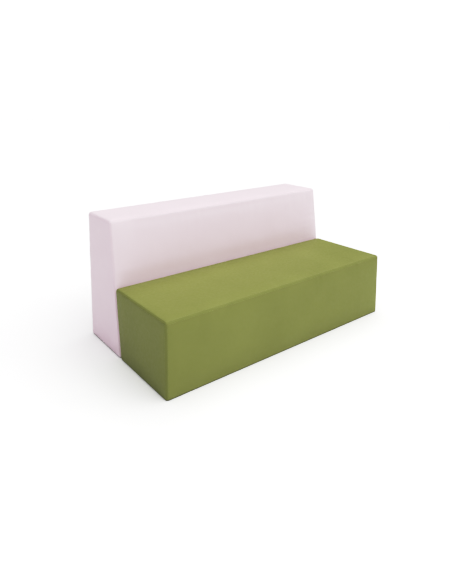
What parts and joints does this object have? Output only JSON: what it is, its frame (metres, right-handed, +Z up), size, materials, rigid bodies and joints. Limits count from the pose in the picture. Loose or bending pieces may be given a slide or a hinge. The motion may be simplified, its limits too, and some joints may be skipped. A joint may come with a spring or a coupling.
{
  "type": "foam bench seat",
  "caption": "Low two-block foam bench for children: olive seat block and taller pink wedge-shaped back block, zipped covers, joined by hook-and-loop strips.",
  "frame": {"origin": "on the floor at the middle of the footprint, under the centre of the overall box", "axes": "+X along the bench towards its right-hand end as seen from the front, +Y to the rear, +Z up; the seat faces -Y"},
  "size_m": [1.3, 0.7052, 0.6],
  "materials": {
    "olive_cover_cloth": "satin, fine grain",
    "pink_cover_cloth": "satin, fine grain",
    "firm_foam": "open-cell foam",
    "soft_foam": "open-cell foam",
    "base_cloth": "matt cloth with rubber dots",
    "olive_zip_tape": "woven",
    "pink_zip_tape": "woven",
    "olive_zip_coil": "nylon",
    "pink_zip_coil": "nylon",
    "zip_metal": "nickel plated",
    "loop_pile": "looped pile",
    "hook_tape": "moulded hooks"
  },
  "bodies": {
    "seat": {"seat_foam_firm_layer": "firm_foam", "seat_foam_soft_layer": "soft_foam", "seat_base_cloth": "base_cloth", "seat_cover_top": "olive_cover_cloth", "seat_cover_front": "olive_cover_cloth", "seat_cover_left": "olive_cover_cloth", "seat_cover_right": "olive_cover_cloth", "seat_cover_rear": "olive_cover_cloth", "seat_cover_hem": "olive_cover_cloth", "seat_zip_tapes": "olive_zip_tape", "seat_zip_coils": "olive_zip_coil", "seat_zip_stops": "zip_metal", "seat_loop_strips": "loop_pile"},
    "back": {"back_foam": "soft_foam", "back_base_cloth": "base_cloth", "back_cover_top": "pink_cover_cloth", "back_cover_front": "pink_cover_cloth", "back_cover_left": "pink_cover_cloth", "back_cover_right": "pink_cover_cloth", "back_cover_rear": "pink_cover_cloth", "back_cover_hem": "pink_cover_cloth", "back_zip_tapes": "pink_zip_tape", "back_zip_coils": "pink_zip_coil", "back_zip_stops": "zip_metal", "back_hook_strips": "hook_tape"},
    "seat_zip_slider": {"seat_zip_slider": "zip_metal"},
    "back_zip_slider": {"back_zip_slider": "zip_metal"},
    "back_zip_pull": {"back_zip_pull": "zip_metal"}
  },
  "joints": [
    {"name": "back_peels_off", "type": "slide", "parent": "seat", "child": "back", "axis": [0, 1, 0], "range_m": [0, 0.3]},
    {"name": "seat_zip_opens", "type": "slide", "parent": "seat", "child": "seat_zip_slider", "axis": [-1, 0, 0], "range_m": [0, 1.17]},
    {"name": "back_zip_opens", "type": "slide", "parent": "back", "child": "back_zip_slider", "axis": [-1, 0, 0], "range_m": [0, 1.17]},
    {"name": "back_zip_pull_flips", "type": "hinge", "parent": "back_zip_slider", "child": "back_zip_pull", "pos_m": [0.5885, 0.3533, 0.06], "axis": [0, 0, -1], "range_deg": [0, 170]}
  ]
}
